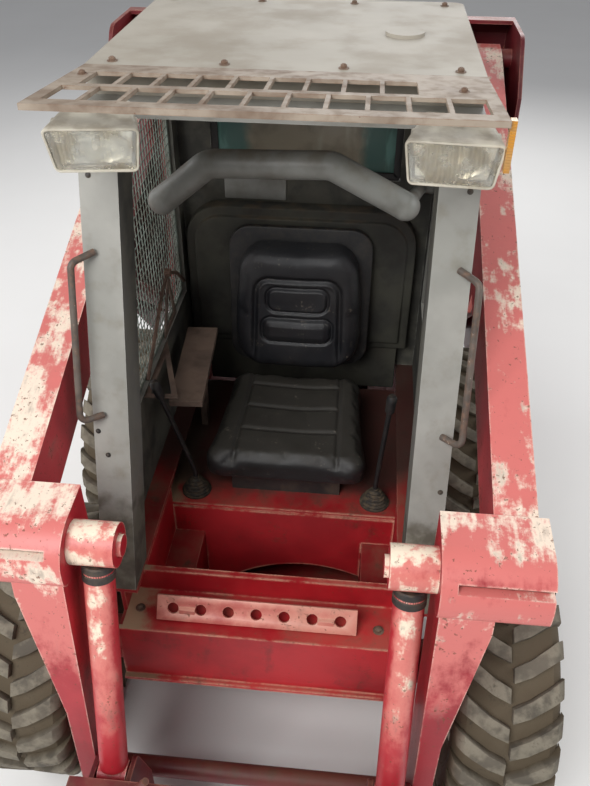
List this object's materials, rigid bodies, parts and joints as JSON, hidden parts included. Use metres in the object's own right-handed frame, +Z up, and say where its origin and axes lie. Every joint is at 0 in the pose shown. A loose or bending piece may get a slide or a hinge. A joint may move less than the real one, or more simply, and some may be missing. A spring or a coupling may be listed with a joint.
{
  "type": "skid steer loader",
  "caption": "Compact wheeled loader with a caged cab, twin lift arms with tilt cylinders, a tool coupler and slotted roof visor.",
  "frame": {"origin": "on the ground, in the middle of the machine's length and width", "axes": "+Z up, -Y towards the front, +X to the right of someone who faces the front"},
  "size_m": [1.51, 2.31, 1.946],
  "materials": {
    "red_paint": "worn satin",
    "faded_paint": "chalky, worn",
    "maroon_paint": "dirty satin",
    "engine_iron": "oily",
    "cab_grey": "dusty matt",
    "roof_beige": "dusty matt",
    "visor_steel": "rusted",
    "screen_mesh": "matt",
    "lamp_cream": "dusty",
    "lamp_glass": "ribbed",
    "amber_lens": "dusty",
    "rusty_steel": "rusted",
    "black_steel": "satin",
    "seat_vinyl": "satin vinyl",
    "tan_plastic": "worn",
    "black_plastic": "matt",
    "bare_steel": "worn",
    "tyre_rubber": "dusty",
    "rim_paint": "dusty"
  },
  "bodies": {
    "chassis": {"chassis_tub": "red_paint", "front_beam": "red_paint", "step_bar": "faded_paint", "foot_well": "red_paint", "seat_platform": "red_paint", "rear_towers": "maroon_paint", "engine_block": "engine_iron", "engine_cover": "red_paint", "axle_housings": "red_paint", "cab_frame": "cab_grey", "roof": "roof_beige", "visor_grille": "visor_steel", "side_screens": "screen_mesh", "lamp_housings": "lamp_cream", "lamp_lenses": "lamp_glass", "side_marker": "amber_lens", "grab_handles": "rusty_steel", "seat_base": "black_steel", "seat_cushion": "seat_vinyl", "seat_back": "seat_vinyl", "armrest_panel": "tan_plastic", "control_levers": "black_plastic"},
    "lap_bar": {"lap_bar": "cab_grey"},
    "rear_door": {"rear_door": "red_paint"},
    "boom": {"arm_left": "faded_paint", "arm_right": "faded_paint", "arm_cross_tube": "maroon_paint", "knee_rods": "bare_steel"},
    "coupler": {"coupler_frame": "maroon_paint"},
    "lift_barrel_left": {"lift_barrel_left": "faded_paint"},
    "lift_rod_left": {"lift_rod_left": "bare_steel"},
    "tilt_barrel_left": {"tilt_barrel_left": "faded_paint"},
    "tilt_rod_left": {"tilt_rod_left": "faded_paint"},
    "lift_barrel_right": {"lift_barrel_right": "faded_paint"},
    "lift_rod_right": {"lift_rod_right": "bare_steel"},
    "tilt_barrel_right": {"tilt_barrel_right": "faded_paint"},
    "tilt_rod_right": {"tilt_rod_right": "faded_paint"},
    "wheel_front_left": {"tyre_front_left": "tyre_rubber", "rim_front_left": "rim_paint"},
    "wheel_front_right": {"tyre_front_right": "tyre_rubber", "rim_front_right": "rim_paint"},
    "wheel_rear_left": {"tyre_rear_left": "tyre_rubber", "rim_rear_left": "rim_paint"},
    "wheel_rear_right": {"tyre_rear_right": "tyre_rubber", "rim_rear_right": "rim_paint"}
  },
  "joints": [
    {"name": "boom_lift", "type": "hinge", "parent": "chassis", "child": "boom", "pos_m": [0, 0.78, 1.69], "axis": [-1, 0, 0], "range_deg": [0, 65]},
    {"name": "coupler_tilt", "type": "hinge", "parent": "boom", "child": "coupler", "pos_m": [0, -1, 0.22], "axis": [1, 0, 0], "range_deg": [0, 80]},
    {"name": "lap_bar_pivot", "type": "hinge", "parent": "chassis", "child": "lap_bar", "pos_m": [0, 0.372, 1.4], "axis": [1, 0, 0], "range_deg": [0, 75]},
    {"name": "rear_door_hinge", "type": "hinge", "parent": "chassis", "child": "rear_door", "pos_m": [-0.38, 1.132, 0.7], "axis": [0, 0, 1], "range_deg": [0, 100]},
    {"name": "lift_barrel_left_pivot", "type": "hinge", "parent": "chassis", "child": "lift_barrel_left", "pos_m": [-0.5575, 0.82, 0.64], "axis": [-1, 0, 0], "range_deg": [0, 26.2]},
    {"name": "lift_rod_left_slide", "type": "slide", "parent": "lift_barrel_left", "child": "lift_rod_left", "axis": [0, -0.8059, 0.5921], "range_m": [0, 0.784]},
    {"name": "tilt_barrel_left_pivot", "type": "hinge", "parent": "coupler", "child": "tilt_barrel_left", "pos_m": [-0.342, -1.06, 0.425], "axis": [-1, 0, 0], "range_deg": [0, 88.2]},
    {"name": "tilt_rod_left_slide", "type": "slide", "parent": "tilt_barrel_left", "child": "tilt_rod_left", "axis": [0, 0.2561, 0.9667], "range_m": [0, 0.253]},
    {"name": "lift_barrel_right_pivot", "type": "hinge", "parent": "chassis", "child": "lift_barrel_right", "pos_m": [0.5575, 0.82, 0.64], "axis": [-1, 0, 0], "range_deg": [0, 26.2]},
    {"name": "lift_rod_right_slide", "type": "slide", "parent": "lift_barrel_right", "child": "lift_rod_right", "axis": [0, -0.8059, 0.5921], "range_m": [0, 0.784]},
    {"name": "tilt_barrel_right_pivot", "type": "hinge", "parent": "coupler", "child": "tilt_barrel_right", "pos_m": [0.342, -1.06, 0.425], "axis": [-1, 0, 0], "range_deg": [0, 88.2]},
    {"name": "tilt_rod_right_slide", "type": "slide", "parent": "tilt_barrel_right", "child": "tilt_rod_right", "axis": [0, 0.2561, 0.9667], "range_m": [0, 0.253]},
    {"name": "wheel_front_left_spin", "type": "hinge", "parent": "chassis", "child": "wheel_front_left", "pos_m": [-0.623, -0.63, 0.385], "axis": [1, 0, 0], "continuous": true},
    {"name": "wheel_front_right_spin", "type": "hinge", "parent": "chassis", "child": "wheel_front_right", "pos_m": [0.623, -0.63, 0.385], "axis": [1, 0, 0], "continuous": true},
    {"name": "wheel_rear_left_spin", "type": "hinge", "parent": "chassis", "child": "wheel_rear_left", "pos_m": [-0.623, 0.33, 0.385], "axis": [1, 0, 0], "continuous": true},
    {"name": "wheel_rear_right_spin", "type": "hinge", "parent": "chassis", "child": "wheel_rear_right", "pos_m": [0.623, 0.33, 0.385], "axis": [1, 0, 0], "continuous": true}
  ],
  "couplings": [
    {"joint": "lift_barrel_left_pivot", "follows": "boom_lift", "ratio": 0.39478},
    {"joint": "lift_rod_left_slide", "follows": "boom_lift", "m_per_rad": 0.68911},
    {"joint": "tilt_barrel_left_pivot", "follows": "coupler_tilt", "ratio": 1.0961},
    {"joint": "tilt_rod_left_slide", "follows": "coupler_tilt", "m_per_rad": 0.17981},
    {"joint": "lift_barrel_right_pivot", "follows": "boom_lift", "ratio": 0.39478},
    {"joint": "lift_rod_right_slide", "follows": "boom_lift", "m_per_rad": 0.68911},
    {"joint": "tilt_barrel_right_pivot", "follows": "coupler_tilt", "ratio": 1.0961},
    {"joint": "tilt_rod_right_slide", "follows": "coupler_tilt", "m_per_rad": 0.17981}
  ]
}
